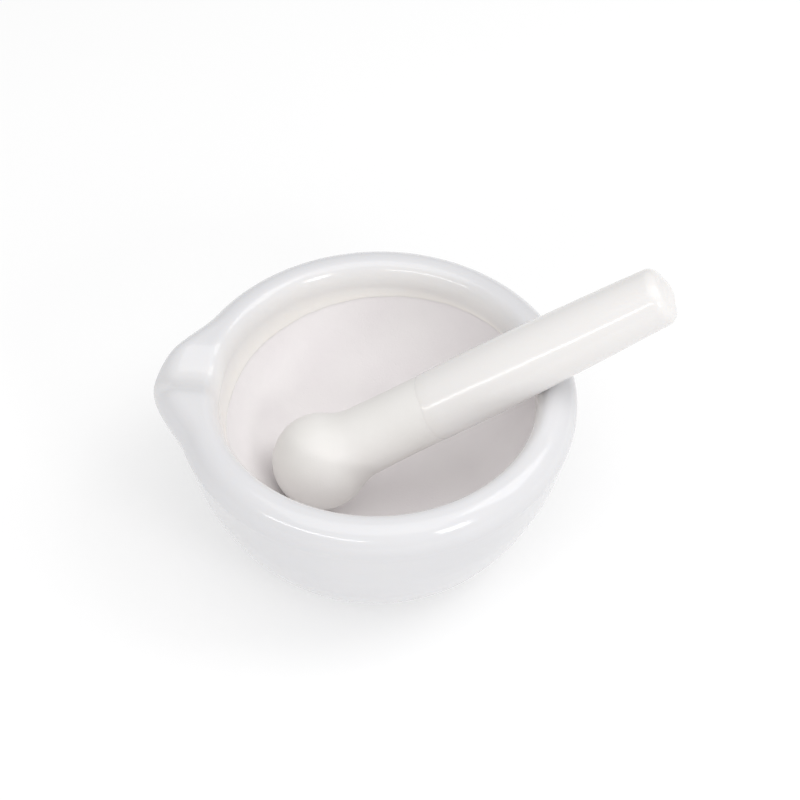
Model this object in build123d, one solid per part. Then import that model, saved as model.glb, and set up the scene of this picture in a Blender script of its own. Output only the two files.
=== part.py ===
from build123d import *
import os
from math import atan2, cos, pi, radians, sin, sqrt, tan

# Laboratory mortar with a pouring lip, and the one-piece pestle that leans in it.
# Millimetres, +Z up. The origin is the centre of the mortar's flat foot, on the bowl's axis.
# The pouring lip points along -X. The pestle leans on the rim on the +X side, as it is put down
# between uses: its round head lies in the bowl and its handle rests on the crest of the rim.

# mortar, driving dimensions
outer_diameter = 100.0     # across the widest part of the rim, lip left out
height = 51.0              # table to the crest of the rim
bowl_radius = 40.0         # the grinding hollow is part of a sphere
bowl_floor = 10.0          # porcelain under the middle of the hollow

crest_inner = 43.6         # the crest of the rim is flat between these two radii
crest_outer = 44.0
rim_outer_drop = 6.8       # the outer roll of the rim ends this far below the crest
rim_inner_drop = 6.5       # and the inner roll this far below it

foot_radius = 28.5
foot_height = 1.5
foot_edge = 0.6            # rounding where the foot meets the table

lip_reach = 6.6            # how far the pouring lip stands out from the rim's circle
lip_half_angle = 26.0      # the lip swells out of the rim over this angle, each side
lip_drop = 28.0            # its underside has faded into the wall this far below the crest

channel_depth = 3.3        # pouring channel along the middle of the lip
channel_half_width = 9.5
channel_fall = 4.0         # degrees the channel falls towards the tip
channel_start = 34.0       # distance from the bowl's axis where the channel's tool enters
channel_lead = 0.6         # height of the tool's edge above the crest at that place
channel_cover = 8.0        # height of the tool above its edge
channel_length = 30.0

# pestle, driving dimensions
head_radius = 12.3         # the grinding head is a ball
neck_radius = 8.8
neck_fillet = 14.0         # hollow curve between the head and the neck
handle_waist = (29.0, 8.7)    # distance from the middle of the head, radius there
handle_swell = (50.0, 8.75)
handle_thinning = (77.0, 8.1)
handle_end = 99.8          # from the middle of the head to the end of the handle
end_radius = 7.45          # half thickness of the handle where its end starts to round
end_edge = 3.0             # rounding round the handle's end
end_dome = 1.3             # how much the handle's end face bulges
end_slopes = ((1, -0.04), (0.35, -1), (0, -1))   # outline's direction at start, face edge and middle

# how the pestle leans
lean = 30.66               # degrees it rises above the level
bearing = 13.8             # degrees its handle points round from +X towards +Y
side_offset = -3.04        # its axis passes the bowl's axis at this distance
rest_radius = 8.63         # half thickness of the handle where it crosses the rim
rest_gap = 0.12            # air between the pestle and the mortar at both resting points

rim_radius = outer_diameter / 2
bowl_centre_z = bowl_floor + bowl_radius

section_points = 72        # points round each level section of the mortar's outside
roll_sections = 5          # level sections on the outer roll of the rim

# (radius, height) down the outside wall, from the widest part of the rim to the foot
wall_outline = [
    (rim_radius, height - rim_outer_drop),
    (49.35, 41.8),
    (48.4, 37.0),
    (47.1, 31.0),
    (45.1, 25.0),
    (42.7, 19.0),
    (39.35, 13.0),
    (35.0, 7.0),
    (32.2, 3.7),
    (foot_radius + 1.0, foot_height),
]


def lip_swell(angle_from_lip, z):
    """How far the wall stands out for the pouring lip, at an angle round the rim and a height."""
    if abs(angle_from_lip) >= lip_half_angle:
        return 0.0
    around = cos(pi / 2 * angle_from_lip / lip_half_angle) ** 2
    below_roll = max(0.0, height - rim_outer_drop - z)
    fade = min(1.0, below_roll / (lip_drop - rim_outer_drop))
    return lip_reach * around * cos(pi / 2 * fade) ** 2


def outside_section(radius, z):
    """Level outline of the mortar's outside at one height."""
    points = []
    for i in range(section_points):
        angle_from_lip = 360.0 * i / section_points - 180.0
        reach = radius + lip_swell(angle_from_lip, z)
        direction = radians(180.0 + angle_from_lip)
        points.append(Vector(reach * cos(direction), reach * sin(direction), z))
    return Wire([Edge.make_spline(points, periodic=True)])


def rim_roll(share):
    """(radius, height) on the outer roll of the rim: share 0 at its widest part, 1 at the crest."""
    turn = pi / 2 * share
    width = rim_radius - crest_outer
    return crest_outer + width * cos(turn), height - rim_outer_drop * (1 - sin(turn))


def mortar_outside():
    wall = list(reversed(wall_outline))
    roll = [rim_roll(i / roll_sections) for i in range(1, roll_sections + 1)]
    body = Solid.make_loft([outside_section(radius, z) for radius, z in wall + roll])
    foot = Pos(0, 0, foot_height / 2) * Cylinder(foot_radius, foot_height)
    foot = fillet(foot.edges().group_by(Axis.Z)[0], foot_edge)
    return body + foot


def bowl_hollow():
    """What is taken out of the middle: the grinding hollow and the inner roll of the rim."""
    roll_foot_z = height - rim_inner_drop
    roll_foot_radius = sqrt(bowl_radius ** 2 - (roll_foot_z - bowl_centre_z) ** 2)
    above = height + 5.0
    with BuildSketch(Plane.XZ) as section:
        with BuildLine():
            lowest = (0, bowl_floor)
            halfway = (bowl_radius * sin(pi / 4), bowl_centre_z - bowl_radius * cos(pi / 4))
            ThreePointArc(lowest, halfway, (roll_foot_radius, roll_foot_z))
            EllipticalCenterArc(
                (crest_inner, roll_foot_z),
                crest_inner - roll_foot_radius,
                rim_inner_drop,
                start_angle=90,
                arc_size=90,
            )
            Polyline((crest_inner, height), (crest_inner, above), (0, above), lowest)
        make_face()
    return revolve(section.sketch, Axis.Z)


def pouring_channel():
    """A shallow round-bottomed channel along the lip, with edges that run out level."""
    side = channel_half_width
    with BuildSketch(Plane.YZ) as section:
        with BuildLine():
            Spline(
                (-side, 0),
                (-side / 2, -channel_depth / 2),
                (0, -channel_depth),
                (side / 2, -channel_depth / 2),
                (side, 0),
                tangents=((1, 0), (1, 0)),
            )
            Polyline((side, 0), (side, channel_cover), (-side, channel_cover), (-side, 0))
        make_face()
    channel = extrude(section.sketch, -channel_length)
    return Pos(-channel_start, 0, height + channel_lead) * Rot(0, -channel_fall, 0) * channel


def make_pestle():
    """The pestle along +X, with the middle of its ball head at the origin."""
    to_fillet = head_radius + neck_fillet
    fillet_x = sqrt(to_fillet ** 2 - (neck_radius + neck_fillet) ** 2)
    fillet_turn = atan2(neck_radius + neck_fillet, fillet_x)
    ball_end = (head_radius * cos(fillet_turn), head_radius * sin(fillet_turn))
    ball_middle = (head_radius * cos((pi + fillet_turn) / 2), head_radius * sin((pi + fillet_turn) / 2))
    dip = (pi / 2 - fillet_turn) / 2
    hollow_middle = (fillet_x - neck_fillet * sin(dip), neck_radius + neck_fillet * (1 - cos(dip)))
    rounding_start = (handle_end - end_edge - end_dome, end_radius)
    face_edge = (handle_end - end_dome, end_radius - end_edge)
    with BuildSketch(Plane.XZ) as section:
        with BuildLine():
            ThreePointArc((-head_radius, 0), ball_middle, ball_end)
            ThreePointArc(ball_end, hollow_middle, (fillet_x, neck_radius))
            Spline(
                (fillet_x, neck_radius),
                handle_waist,
                handle_swell,
                handle_thinning,
                rounding_start,
                tangents=((1, 0), end_slopes[0]),
            )
            Spline(rounding_start, face_edge, tangents=end_slopes[:2])
            Spline(face_edge, (handle_end, 0), tangents=end_slopes[1:])
            Line((handle_end, 0), (-head_radius, 0))
        make_face()
    return revolve(section.sketch, Axis.X)


def lean_pestle(pestle):
    """Lays the handle on the rim's crest and slides the head down until it meets the hollow."""
    tilt = radians(lean)
    roll_width = crest_inner - bowl_radius
    turn = atan2(roll_width * tan(tilt), rim_inner_drop)
    touch_radius = crest_inner - roll_width * sin(turn)
    touch_z = height - rim_inner_drop * (1 - cos(turn))
    over_x = sqrt(touch_radius ** 2 - side_offset ** 2) - (rest_radius + rest_gap) * sin(tilt)
    over_z = touch_z + (rest_radius + rest_gap) * cos(tilt)
    free = bowl_radius - head_radius - rest_gap
    dz = over_z - bowl_centre_z
    half = over_x * cos(tilt) + dz * sin(tilt)
    rest = over_x ** 2 + side_offset ** 2 + dz ** 2 - free ** 2
    down = half + sqrt(half ** 2 - rest)
    head = Pos(over_x - down * cos(tilt), side_offset, over_z - down * sin(tilt))
    return Rot(0, 0, bearing) * head * Rot(0, -lean, 0) * pestle


mortar = mortar_outside() - bowl_hollow() - pouring_channel()
pestle = lean_pestle(make_pestle())

os.makedirs("parts", exist_ok=True)
export_step(mortar, "parts/mortar.step")
export_step(pestle, "parts/pestle.step")
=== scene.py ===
import bpy
import bmesh
import math
from mathutils import Matrix, Vector, noise


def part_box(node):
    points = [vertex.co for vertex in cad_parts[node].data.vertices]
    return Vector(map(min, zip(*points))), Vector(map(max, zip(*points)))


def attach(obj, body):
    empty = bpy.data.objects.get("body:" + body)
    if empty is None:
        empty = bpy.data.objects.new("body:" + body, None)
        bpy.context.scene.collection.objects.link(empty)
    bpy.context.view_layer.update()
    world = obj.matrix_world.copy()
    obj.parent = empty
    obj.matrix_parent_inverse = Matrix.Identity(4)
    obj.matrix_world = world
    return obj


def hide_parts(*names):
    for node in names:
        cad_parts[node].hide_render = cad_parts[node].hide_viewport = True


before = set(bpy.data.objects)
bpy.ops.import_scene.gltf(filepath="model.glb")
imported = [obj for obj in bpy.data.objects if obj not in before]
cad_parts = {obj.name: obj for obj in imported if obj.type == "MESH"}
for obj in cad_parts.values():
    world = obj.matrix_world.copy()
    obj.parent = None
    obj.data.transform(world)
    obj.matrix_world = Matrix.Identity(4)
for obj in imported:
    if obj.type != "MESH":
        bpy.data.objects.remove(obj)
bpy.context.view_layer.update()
print("frame loaded:", ", ".join(sorted(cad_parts)))

mm = 0.001
pi = math.pi


def hexToLinear(code):
    # sRGB hex to the linear values that a shader socket takes
    channels = []
    for place in (0, 2, 4):
        value = int(code[place:place + 2], 16) / 255
        channels.append(value / 12.92 if value <= 0.04045 else ((value + 0.055) / 1.055) ** 2.4)
    return (*channels, 1.0)


def addNode(tree, kind, settings=None, values=None, links=None):
    # one node with its settings, its input values and what feeds it
    node = tree.nodes.new(kind)
    for name, value in (settings or {}).items():
        setattr(node, name, value)
    for name, value in (values or {}).items():
        node.inputs[name].default_value = value
    for name, source in (links or {}).items():
        tree.links.new(source, node.inputs[name])
    return node


def easeBetween(low, high, value):
    share = min(1.0, max(0.0, (value - low) / (high - low)))
    return share * share * (3 - 2 * share)


def curveThrough(points, steps):
    # Catmull-Rom through a few given points, ends included
    first = tuple(2 * a - b for a, b in zip(points[0], points[1]))
    last = tuple(2 * a - b for a, b in zip(points[-1], points[-2]))
    padded = [first, *points, last]
    line = []
    for i in range(1, len(padded) - 2):
        p0, p1, p2, p3 = padded[i - 1:i + 3]
        for step in range(steps):
            t = step / steps
            line.append(tuple(
                0.5 * (2 * b + (c - a) * t + (2 * a - 5 * b + 4 * c - d) * t * t
                       + (3 * b - a - 3 * c + d) * t ** 3)
                for a, b, c, d in zip(p0, p1, p2, p3)))
    line.append(tuple(points[-1]))
    return line


def skinRings(name, rings, poolsAndPaintedLight, firstMiddle, lastMiddle, isBiscuit):
    # quads between rings of points, closed by a fan at each end; the pool values say where the glaze
    # changes tone: real pooling at the pestle's glaze edge, and on the mortar partly thinning glaze and
    # partly painted light on the inner rim and glazed band
    mesh = bmesh.new()
    rows = [[mesh.verts.new(point) for point in ring] for ring in rings]
    count = len(rings[0])
    for r in range(len(rows) - 1):
        for i in range(count):
            k = (i + 1) % count
            face = mesh.faces.new((rows[r][i], rows[r][k], rows[r + 1][k], rows[r + 1][i]))
            face.material_index = int(isBiscuit(r))
    for row, point, index in ((rows[0], firstMiddle, 0), (rows[-1], lastMiddle, len(rows) - 2)):
        middle = mesh.verts.new(point)
        for i in range(count):
            face = mesh.faces.new((row[i], row[(i + 1) % count], middle))
            face.material_index = int(isBiscuit(index))
    bmesh.ops.recalc_face_normals(mesh, faces=mesh.faces)
    data = bpy.data.meshes.new(name)
    mesh.to_mesh(data)
    mesh.free()
    depth = data.attributes.new("glazePoolAndPaintedLight", "FLOAT", "POINT")
    flat = [value for ring in poolsAndPaintedLight for value in ring] + [0.0, 0.0]
    depth.data.foreach_set("value", flat)
    piece = bpy.data.objects.new(name, data)
    bpy.context.scene.collection.objects.link(piece)
    for face in data.polygons:
        face.use_smooth = True
    smooth = piece.modifiers.new("smooth", "SUBSURF")
    smooth.levels = smooth.render_levels = 1
    return piece


glaze = {
    "mortar": "D8D8DB",        # clear over a white body, a little cool
    "mortarPoolAndPaintedLight": "F0EDE9",    # lighter and warmer inside the rim and down the glazed band: partly the glaze thinning so the warm body shows, partly painted light for the light those inward faces catch
    "pestle": "E7E5E4",        # the pestle's body fires warmer
    "pestlePool": "E2DFDB",
    "speck": "A79C8C",
    "speckStrength": 0.45,
    "speckPick": 0.62,         # higher leaves fewer specks
    "cloudSpacing": 24.0,      # mm across a patch of slightly thicker glaze
    "cloudShare": 0.22,
    "roughness": 0.13,
    "waveSpacing": 11.0,       # mm between the soft waves that the glaze leaves
    "waveHeight": 0.035,
    "peelSpacing": 1.3,        # mm, fine orange peel, drawn about twice as coarse as the real one
    "peelHeight": 0.0025,
    "speckSpacing": 9.0,
    "speckSize": 0.16,
}


def glazedPorcelain(name, colour, poolAndPaintedLightColour):
    # hard porcelain with a clear feldspar glaze, dipped and fired: a sharp reflection on soft white
    g = glaze
    material = bpy.data.materials.new(name)
    material.use_nodes = True
    tree = material.node_tree
    tree.nodes.clear()
    place = addNode(tree, "ShaderNodeTexCoord").outputs["Object"]
    cloud = addNode(tree, "ShaderNodeTexNoise", links={"Vector": place},
                    values={"Scale": 1 / (g["cloudSpacing"] * mm), "Detail": 2.0})
    # pool tone from the mesh: real glaze pooling on the pestle, partly painted light on the mortar's inner
    # rim and band
    poolAndPaintedLight = addNode(tree, "ShaderNodeAttribute", {"attribute_name": "glazePoolAndPaintedLight"})
    thickAndPaintedLight = addNode(tree, "ShaderNodeMath", {"operation": "MULTIPLY_ADD", "use_clamp": True},
                    {1: g["cloudShare"]}, {0: cloud.outputs["Fac"], 2: poolAndPaintedLight.outputs["Fac"]})
    body = addNode(tree, "ShaderNodeMix", {"data_type": "RGBA"},
                   {6: hexToLinear(colour), 7: hexToLinear(poolAndPaintedLightColour)}, {0: thickAndPaintedLight.outputs[0]})
    # iron specks from the clay: few, small and pale brown
    cells = addNode(tree, "ShaderNodeTexVoronoi", values={"Scale": 1 / (g["speckSpacing"] * mm)},
                    links={"Vector": place})
    near = addNode(tree, "ShaderNodeMapRange", values={
        "From Min": g["speckSize"] / g["speckSpacing"],
        "From Max": 0.4 * g["speckSize"] / g["speckSpacing"],
        "To Min": 0.0, "To Max": g["speckStrength"]}, links={"Value": cells.outputs["Distance"]})
    chosen = addNode(tree, "ShaderNodeMath", {"operation": "GREATER_THAN"}, {1: g["speckPick"]},
                     {0: cells.outputs["Color"]})
    speck = addNode(tree, "ShaderNodeMath", {"operation": "MULTIPLY"}, None,
                    {0: near.outputs[0], 1: chosen.outputs[0]})
    surface = addNode(tree, "ShaderNodeMix", {"data_type": "RGBA"}, {7: hexToLinear(g["speck"])},
                      {0: speck.outputs[0], 6: body.outputs[2]})
    gloss = addNode(tree, "ShaderNodeMapRange", values={
        "From Min": 0.3, "From Max": 0.7, "To Min": 0.75 * g["roughness"], "To Max": 1.3 * g["roughness"]},
        links={"Value": cloud.outputs["Fac"]})
    wave = addNode(tree, "ShaderNodeTexNoise", values={"Scale": 1 / (g["waveSpacing"] * mm), "Detail": 1.0},
                   links={"Vector": place})
    peel = addNode(tree, "ShaderNodeTexNoise", values={"Scale": 1 / (g["peelSpacing"] * mm), "Detail": 1.0},
                   links={"Vector": place})
    waved = addNode(tree, "ShaderNodeBump", values={"Strength": 1.0, "Distance": g["waveHeight"] * mm},
                    links={"Height": wave.outputs["Fac"]})
    peeled = addNode(tree, "ShaderNodeBump", values={"Strength": 1.0, "Distance": g["peelHeight"] * mm},
                     links={"Height": peel.outputs["Fac"], "Normal": waved.outputs[0]})
    shader = addNode(tree, "ShaderNodeBsdfPrincipled",
                     values={"IOR": 1.5, "Subsurface Weight": 0.15, "Subsurface Scale": 2 * mm},
                     links={"Base Color": surface.outputs[2], "Roughness": gloss.outputs[0],
                            "Normal": peeled.outputs[0]})
    shader.inputs["Subsurface Radius"].default_value = (1.0, 0.85, 0.7)
    addNode(tree, "ShaderNodeOutputMaterial", links={"Surface": shader.outputs[0]})
    return material


biscuit = {
    "mortar": "EDEAEA",
    "mortarShade": "EAE6E7",   # a cloud of slightly denser body
    "pestle": "E6E4E2",
    "pestleShade": "E2E0DD",
    "roughness": 0.78,
    "cloudSpacing": 13.0,      # mm
    "grainSpacing": 0.5,       # mm, the tooth that grinds; really about 0.2, drawn coarser so that it shows
    "grainHeight": 0.03,
    "pitSpacing": 1.7,
    "pitDepth": 0.05,
}


def biscuitPorcelain(name, colour, shade):
    # the same body left bare of glaze so that it grinds: dry, matt, and fine-grained like an eggshell
    b = biscuit
    material = bpy.data.materials.new(name)
    material.use_nodes = True
    tree = material.node_tree
    tree.nodes.clear()
    place = addNode(tree, "ShaderNodeTexCoord").outputs["Object"]
    cloud = addNode(tree, "ShaderNodeTexNoise", links={"Vector": place},
                    values={"Scale": 1 / (b["cloudSpacing"] * mm), "Detail": 4.0})
    spread = addNode(tree, "ShaderNodeMapRange", values={"From Min": 0.3, "From Max": 0.7},
                     links={"Value": cloud.outputs["Fac"]})
    body = addNode(tree, "ShaderNodeMix", {"data_type": "RGBA"},
                   {6: hexToLinear(colour), 7: hexToLinear(shade)}, {0: spread.outputs[0]})
    grain = addNode(tree, "ShaderNodeTexNoise", links={"Vector": place},
                    values={"Scale": 1 / (b["grainSpacing"] * mm), "Detail": 3.0})
    pits = addNode(tree, "ShaderNodeTexVoronoi", values={"Scale": 1 / (b["pitSpacing"] * mm)},
                   links={"Vector": place})
    pit = addNode(tree, "ShaderNodeMapRange", values={"From Min": 0.0, "From Max": 0.16},
                  links={"Value": pits.outputs["Distance"]})
    pitted = addNode(tree, "ShaderNodeBump", values={"Strength": 0.6, "Distance": b["pitDepth"] * mm},
                     links={"Height": pit.outputs[0]})
    grained = addNode(tree, "ShaderNodeBump", values={"Strength": 1.0, "Distance": b["grainHeight"] * mm},
                      links={"Height": grain.outputs["Fac"], "Normal": pitted.outputs[0]})
    dryness = addNode(tree, "ShaderNodeMapRange", values={
        "To Min": b["roughness"] - 0.06, "To Max": b["roughness"] + 0.08},
        links={"Value": grain.outputs["Fac"]})
    shader = addNode(tree, "ShaderNodeBsdfPrincipled", values={"IOR": 1.5},
                     links={"Base Color": body.outputs[2], "Roughness": dryness.outputs[0],
                            "Normal": grained.outputs[0]})
    addNode(tree, "ShaderNodeOutputMaterial", links={"Surface": shader.outputs[0]})
    return material


mortarLow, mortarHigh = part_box("mortar")
mortar = {
    "height": mortarHigh.z,
    "radius": (mortarHigh.y - mortarLow.y) / 2,
    # mm, from the widest part of the rim to the foot
    "wallOutline": [(50, 44.2), (49.8, 43.0), (49.35, 41.2), (48.4, 37), (47.1, 31), (45.1, 25),
                    (42.7, 19), (39.35, 13), (35, 7), (32.2, 3.7), (29.5, 1.5)],
    "footRadius": 28.5 * mm,
    "footEdge": 0.6 * mm,
    "crestInner": 43.6 * mm,
    "crestOuter": 44.0 * mm,
    "outerRoll": 6.8 * mm,         # height of the outer roll of the rim
    "innerRoll": 6.5 * mm,
    "bowlRadius": 40.0 * mm,
    "bowlFloor": 10.0 * mm,
    "rimDepth": 9.0 * mm,          # the channel and the even rim reach down to this below the crest
    "lipReach": -mortarLow.x - (mortarHigh.y - mortarLow.y) / 2,
    "lipHalfAngle": 26.0,
    "lipDrop": 28.0 * mm,
    "channelDepth": 3.3 * mm,
    "channelHalfWidth": 9.5 * mm,
    "channelFall": 1.0 * mm,       # deeper by this at the tip than at the bowl
    "glazeLine": 10.6 * mm,        # below the crest, inside
    "glazeLineTilt": 3.2 * mm,     # the dip was not level: it is deeper by this on one side
    "glazeLineLow": 215.0,         # degrees, the side where it is deeper
    "glazeLineWander": 0.6 * mm,
    "glazeThickness": 0.22 * mm,
    "wallWander": 0.12 * mm,       # small unevenness of the wall
    "flatSides": 0.6 * mm,         # fired a little out of round: two sides lie this far in
    "flatSidesAt": 135.0,
    "around": 216,
}


def mortarProfile():
    # rows from the foot up the outside and down into the bowl: radius, height, share of the lip's
    # reach, and for the bowl the slope angle on its sphere, how far the glaze line moves it and its recess
    m = mortar
    height, rows = m["height"], []
    for share in (0.25, 0.5, 0.75, 0.95):
        rows.append((share * (m["footRadius"] - m["footEdge"]), 0.0, 0.0, None))
    for step in range(5):
        turn = pi / 2 * step / 4
        rows.append((m["footRadius"] - m["footEdge"] * (1 - math.sin(turn)),
                     m["footEdge"] * (1 - math.cos(turn)), 0.0, None))
    rows.append((m["footRadius"] + 0.1 * mm, 1.1 * mm, 0.0, None))
    wall = curveThrough([(r * mm, z * mm) for r, z in reversed(m["wallOutline"])], 4)
    for radius, z in wall[:-1]:
        fade = min(1.0, max(0.0, height - m["outerRoll"] - z) / (m["lipDrop"] - m["outerRoll"]))
        rows.append((radius, z, math.cos(pi / 2 * fade) ** 2, None))
    for step in range(13):
        turn = pi / 2 * step / 12
        rows.append((m["crestOuter"] + (m["radius"] - m["crestOuter"]) * math.cos(turn),
                     height - m["outerRoll"] * (1 - math.sin(turn)), 1.0, None))
    for share in (0.75, 0.5, 0.25):
        rows.append((m["crestInner"] + (m["crestOuter"] - m["crestInner"]) * share, height, share, None))
    bowlMiddle = m["bowlFloor"] + m["bowlRadius"]
    rollFoot = height - m["innerRoll"]
    rollFootRadius = math.sqrt(m["bowlRadius"] ** 2 - (rollFoot - bowlMiddle) ** 2)
    for step in range(12):
        turn = pi / 2 * step / 12
        rows.append((m["crestInner"] - (m["crestInner"] - rollFootRadius) * math.sin(turn),
                     rollFoot + m["innerRoll"] * math.cos(turn), 0.0, None))
    startAngle = math.asin((rollFoot - bowlMiddle) / m["bowlRadius"])
    lineAngle = math.asin((height - m["glazeLine"] - bowlMiddle) / m["bowlRadius"])
    for step in range(6):
        share = step / 6
        rows.append((0, 0, 0.0, (startAngle + (lineAngle - startAngle) * share, share, 0.0)))
    for below, recess in ((0.0, 0.0), (0.25, 0.35), (0.5, 0.85), (0.8, 1.0)):
        rows.append((0, 0, 0.0, (lineAngle - below * mm / m["bowlRadius"], 1.0, recess)))
    glazeEnds = len(rows) - 3
    for step in range(1, 24):
        share = step / 24
        angle = lineAngle + (-pi / 2 - lineAngle) * share
        rows.append((0, 0, 0.0, (angle, max(0.0, 1 - 2.5 * share), 1.0)))
    return rows, glazeEnds


def mortarRing(row):
    m = mortar
    radius, z, lipShare, bowl = row
    ring, poolsAndPaintedLight = [], []
    for i in range(m["around"]):
        fromLip = 360.0 * i / m["around"] - 180.0
        angle = math.radians(180 + fromLip)
        c, s = math.cos(angle), math.sin(angle)
        if bowl:
            slope, follow, recess = bowl
            wander = (m["glazeLineTilt"] * math.cos(angle - math.radians(m["glazeLineLow"]))
                      + m["glazeLineWander"] * noise.noise(Vector((1.6 * c, 1.6 * s, 0.3)))
                      + 0.25 * m["glazeLineWander"] * noise.noise(Vector((9 * c, 9 * s, 2.1))))
            slope -= follow * wander / m["bowlRadius"]
            sphere = m["bowlRadius"] + recess * m["glazeThickness"]
            reach = sphere * math.cos(slope)
            h = m["bowlFloor"] + m["bowlRadius"] + sphere * math.sin(slope)
            # the glazed band in the bowl takes the lighter pool tone, strongest at the glaze line: partly
            # thinning glaze, partly painted light
            poolAndPaintedLight = (0.6 + 0.4 * follow) * (1 - recess)
        else:
            reach, h = radius, z
            if abs(fromLip) < m["lipHalfAngle"]:
                reach += m["lipReach"] * lipShare * math.cos(pi / 2 * fromLip / m["lipHalfAngle"]) ** 2
            onWall = easeBetween(1 * mm, 8 * mm, z)
            onWall *= 1 - easeBetween(m["height"] - m["rimDepth"], m["height"], z)
            reach += m["wallWander"] * onWall * noise.noise(Vector((2 * c, 2 * s, z / (30 * mm))))
            # the inner roll of the rim takes the same lighter tone: partly thinning glaze, partly painted
            # light
            inward = 1 - easeBetween(m["bowlRadius"] - 1.5 * mm, m["crestInner"], radius)
            poolAndPaintedLight = 0.6 * inward if z > m["height"] / 2 else 0.0
        outOfRound = 0.5 + 0.5 * math.cos(2 * (angle - math.radians(m["flatSidesAt"])))
        reach -= m["flatSides"] * outOfRound * reach / m["radius"]
        x, y = reach * c, reach * s
        if x < 0 and abs(y) < m["channelHalfWidth"] and (not bowl or bowl[1] < 0.5):
            top = easeBetween(m["height"] - m["rimDepth"], m["height"] - 1 * mm, h)
            along = easeBetween(m["crestInner"], m["radius"] + m["lipReach"], reach)
            hollow = math.cos(pi / 2 * y / m["channelHalfWidth"]) ** 2
            h -= (m["channelDepth"] + m["channelFall"] * along) * top * hollow
            # painted light: the spout channel's hollow takes a little of the same lighter pool tone
            poolAndPaintedLight = max(poolAndPaintedLight, 0.15 * hollow * top)
        ring.append((x, y, h))
        poolsAndPaintedLight.append(poolAndPaintedLight)
    return ring, poolsAndPaintedLight


def makeMortar():
    rows, glazeEnds = mortarProfile()
    built = [mortarRing(row) for row in rows]
    piece = skinRings("mortarPorcelain", [ring for ring, poolsAndPaintedLight in built], [poolsAndPaintedLight for ring, poolsAndPaintedLight in built],
                      (0, 0, 0), (0, 0, mortar["bowlFloor"] - mortar["glazeThickness"]),
                      lambda r: r < 4 or r >= glazeEnds)
    piece.data.materials.append(
        glazedPorcelain("glazed porcelain, mortar", glaze["mortar"], glaze["mortarPoolAndPaintedLight"]))
    piece.data.materials.append(
        biscuitPorcelain("biscuit porcelain, mortar", biscuit["mortar"], biscuit["mortarShade"]))
    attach(piece, "mortar")
    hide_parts("mortar")
    print("mortar built:", len(piece.data.polygons), "faces")
    return piece


pestleLow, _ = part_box("pestle")
pestle = {
    "headRadius": 12.3 * mm,
    "neckRadius": 8.8 * mm,
    "neckHollow": 14.0 * mm,
    "handle": [(20, 8.73), (29, 8.7), (40, 8.76), (50, 8.75), (63, 8.5), (77, 8.1), (88, 7.72),
               (95.5, 7.45)],          # mm, distance from the middle of the head and radius
    "end": 99.8 * mm,
    "endEdge": 3.0 * mm,
    "endDome": 1.3 * mm,
    "glazeLine": 32.6 * mm,      # the head and neck before it are bare
    "glazeLineTilt": 0.5 * mm,
    "glazeLineWander": 0.7 * mm,
    "glazeLineRipple": 0.2 * mm,
    "glazeThickness": 0.10 * mm,
    "handleWander": 0.07 * mm,
    "lean": 30.66,               # degrees above the level
    "bearing": 13.8,             # degrees round from straight away from the lip
    "around": 120,
}


def pestleProfile():
    # rows of distance along the axis from the middle of the head, radius, and how far the line moves them
    p = pestle
    rows = []
    toHollow = p["headRadius"] + p["neckHollow"]
    hollowX = math.sqrt(toHollow ** 2 - (p["neckRadius"] + p["neckHollow"]) ** 2)
    ballEnd = math.acos(hollowX / toHollow)
    for step in range(1, 29):
        angle = pi + (ballEnd - pi) * step / 28
        rows.append((p["headRadius"] * math.cos(angle), p["headRadius"] * math.sin(angle), 0.0))
    dip = pi / 2 - ballEnd
    for step in range(1, 7):
        turn = dip * (1 - step / 7)
        rows.append((hollowX - p["neckHollow"] * math.sin(turn),
                     p["neckRadius"] + p["neckHollow"] * (1 - math.cos(turn)), 0.0))
    handle = curveThrough([(hollowX, p["neckRadius"])] + [(x * mm, r * mm) for x, r in p["handle"]], 6)
    before = [point for point in handle if point[0] < p["glazeLine"] - 1.2 * mm]
    after = [point for point in handle if point[0] > p["glazeLine"] + 1.6 * mm]
    thickness = p["glazeThickness"]
    for x, radius in before:
        # the bare body lies one glaze thickness below the glazed surface
        rows.append((x, radius - thickness * easeBetween(12 * mm, 24 * mm, x),
                     easeBetween(18 * mm, 30 * mm, x)))
    lineRadius = 0.5 * (before[-1][1] + after[0][1])
    for past, share in ((-0.5, 0.0), (-0.1, 0.15), (0.15, 0.6), (0.45, 0.92), (0.9, 1.0)):
        rows.append((p["glazeLine"] + past * mm, lineRadius - thickness * (1 - share), 1.0))
    glazeStarts = len(rows) - 4
    for x, radius in after:
        rows.append((x, radius, 1 - easeBetween(34 * mm, 50 * mm, x)))
    start, endRadius = handle[-1]
    for step in range(1, 9):
        turn = pi / 2 * step / 8
        rows.append((start + (p["end"] - p["endDome"] - start) * math.sin(turn),
                     endRadius - p["endEdge"] * (1 - math.cos(turn)), 0.0))
    faceRadius = endRadius - p["endEdge"]
    for share in (0.8, 0.6, 0.4, 0.2):
        rows.append((p["end"] - p["endDome"] * share ** 2, faceRadius * share, 0.0))
    return rows, glazeStarts


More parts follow.
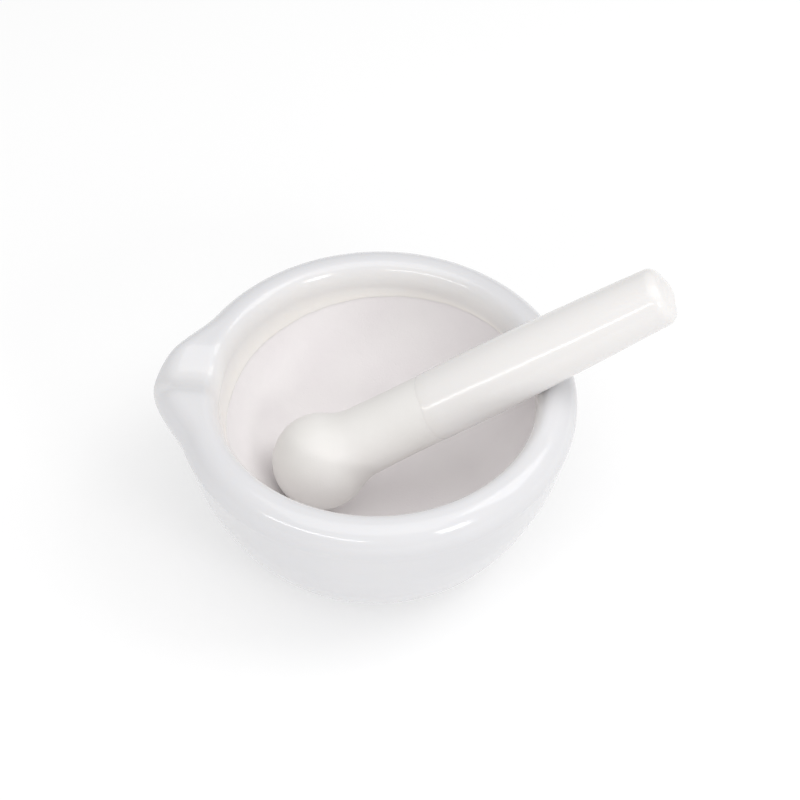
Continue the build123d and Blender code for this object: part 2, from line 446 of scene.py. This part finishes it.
def makePestle():
    p = pestle
    headMiddle = pestleLow + Vector((1, 1, 1)) * p["headRadius"]
    place = (Matrix.Translation(headMiddle) @ Matrix.Rotation(math.radians(p["bearing"]), 4, "Z")
             @ Matrix.Rotation(math.radians(-p["lean"]), 4, "Y"))
    rows, glazeStarts = pestleProfile()
    rings, poolsAndPaintedLight = [], []
    for index, (x, radius, follow) in enumerate(rows):
        ring, poolAndPaintedLight = [], []
        for i in range(p["around"]):
            turn = 2 * pi * i / p["around"]
            c, s = math.cos(turn), math.sin(turn)
            wander = (p["glazeLineTilt"] * c
                      + p["glazeLineWander"] * noise.noise(Vector((1.5 * c, 1.5 * s, 5.2)))
                      + p["glazeLineRipple"] * noise.noise(Vector((7 * c, 7 * s, 1.4))))
            onHandle = easeBetween(12 * mm, 25 * mm, x) * (1 - easeBetween(90 * mm, 98 * mm, x))
            reach = radius - p["handleWander"] * onHandle * abs(noise.noise(Vector((c, s, x / (28 * mm)))))
            ring.append(place @ Vector((x + follow * wander, reach * c, reach * s)))
            poolAndPaintedLight.append(0.3 * (1 - easeBetween(0.5 * mm, 4 * mm, x - p["glazeLine"]))
                        if index >= glazeStarts else 0.0)
        rings.append(ring)
        poolsAndPaintedLight.append(poolAndPaintedLight)
    piece = skinRings("pestlePorcelain", rings, poolsAndPaintedLight, place @ Vector((-p["headRadius"], 0, 0)),
                      place @ Vector((p["end"], 0, 0)), lambda r: r < glazeStarts)
    piece.data.materials.append(
        glazedPorcelain("glazed porcelain, pestle", glaze["pestle"], glaze["pestlePool"]))
    piece.data.materials.append(
        biscuitPorcelain("biscuit porcelain, pestle", biscuit["pestle"], biscuit["pestleShade"]))
    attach(piece, "pestle")
    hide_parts("pestle")
    print("pestle built:", len(piece.data.polygons), "faces")
    return piece


makeMortar()
makePestle()

camera = {
    "lens": 109.5,         # mm, on a 36 mm sensor
    "elevation": 48.46,    # degrees above the level, looking at the middle of the rim
    "azimuth": 6.0,        # degrees round from straight before the bowl
    "roll": 0.35,
    "distance": 0.600,
    "right": 0.0056,       # the camera's axis passes the middle of the rim by this much
    "up": -0.0041,
}


def makeCamera():
    c = camera
    elevation, azimuth, roll = (math.radians(c[key]) for key in ("elevation", "azimuth", "roll"))
    turn = Matrix.Rotation(azimuth, 3, "Z")
    right = turn @ Vector((1, 0, 0))
    forward = turn @ Vector((0, math.cos(elevation), -math.sin(elevation)))
    up = turn @ Vector((0, math.sin(elevation), math.cos(elevation)))
    rimMiddle = Vector((0, 0, mortar["height"]))
    place = rimMiddle + c["right"] * right + c["up"] * up - c["distance"] * forward
    rolledRight = math.cos(roll) * right + math.sin(roll) * up
    rolledUp = math.cos(roll) * up - math.sin(roll) * right
    lens = bpy.data.cameras.new("camera")
    lens.sensor_width = 36
    lens.lens = c["lens"]
    lens.clip_end = 20
    holder = bpy.data.objects.new("camera", lens)
    basis = Matrix((rolledRight, rolledUp, -forward)).transposed()
    holder.matrix_world = Matrix.Translation(place) @ basis.to_4x4()
    bpy.context.scene.collection.objects.link(holder)
    bpy.context.scene.camera = holder


studio = {
    "floor": "C8C8C8",
    "floorGlow": 0.40,     # the floor is a table lit from below
    "world": 0.56,
    "lampDistance": 0.9,   # m from the bowl
    # azimuth and elevation in degrees, width and depth in metres, power in watts
    "lamps": {
        "overhead": (-88, 79, (0.95, 0.85), 3.0),
        "right key": (12, 52, (0.5, 0.5), 1.9),
        "left strip": (-115, 29, (0.80, 0.06), 1.2),
        "right box": (-44, 28, (0.22, 0.22), 1.1),
    },
}


def makeFloor():
    mesh = bmesh.new()
    bmesh.ops.create_grid(mesh, x_segments=2, y_segments=2, size=3.0)
    data = bpy.data.meshes.new("floor")
    mesh.to_mesh(data)
    mesh.free()
    floor = bpy.data.objects.new("floor", data)
    bpy.context.scene.collection.objects.link(floor)
    material = bpy.data.materials.new("white table")
    material.use_nodes = True
    shader = material.node_tree.nodes["Principled BSDF"]
    shader.inputs["Base Color"].default_value = hexToLinear(studio["floor"])
    shader.inputs["Roughness"].default_value = 0.9
    shader.inputs["Specular IOR Level"].default_value = 0.0
    shader.inputs["Emission Color"].default_value = (1, 1, 1, 1)
    shader.inputs["Emission Strength"].default_value = studio["floorGlow"]
    data.materials.append(material)


def makeLight(name, azimuth, elevation, size, power):
    # a rectangular soft box that faces the bowl, placed by its direction from it
    lamp = bpy.data.lights.new(name, "AREA")
    lamp.shape = "RECTANGLE"
    lamp.size, lamp.size_y = size
    lamp.energy = power
    holder = bpy.data.objects.new(name, lamp)
    az, el = math.radians(azimuth), math.radians(elevation)
    direction = Vector((math.cos(az) * math.cos(el), math.sin(az) * math.cos(el), math.sin(el)))
    holder.location = Vector((0, 0, 0.04)) + studio["lampDistance"] * direction
    holder.rotation_mode = "QUATERNION"
    holder.rotation_quaternion = (-direction).to_track_quat("-Z", "Y")
    bpy.context.scene.collection.objects.link(holder)


def makeStudio():
    makeFloor()
    for name, (azimuth, elevation, size, power) in studio["lamps"].items():
        makeLight(name, azimuth, elevation, size, power)
    world = bpy.data.worlds.new("studio")
    world.use_nodes = True
    world.node_tree.nodes["Background"].inputs["Color"].default_value = (1, 1, 1, 1)
    world.node_tree.nodes["Background"].inputs["Strength"].default_value = studio["world"]
    bpy.context.scene.world = world
    bpy.context.scene.view_settings.view_transform = "Standard"


makeCamera()
makeStudio()
print("studio set up")

print("scene ready")
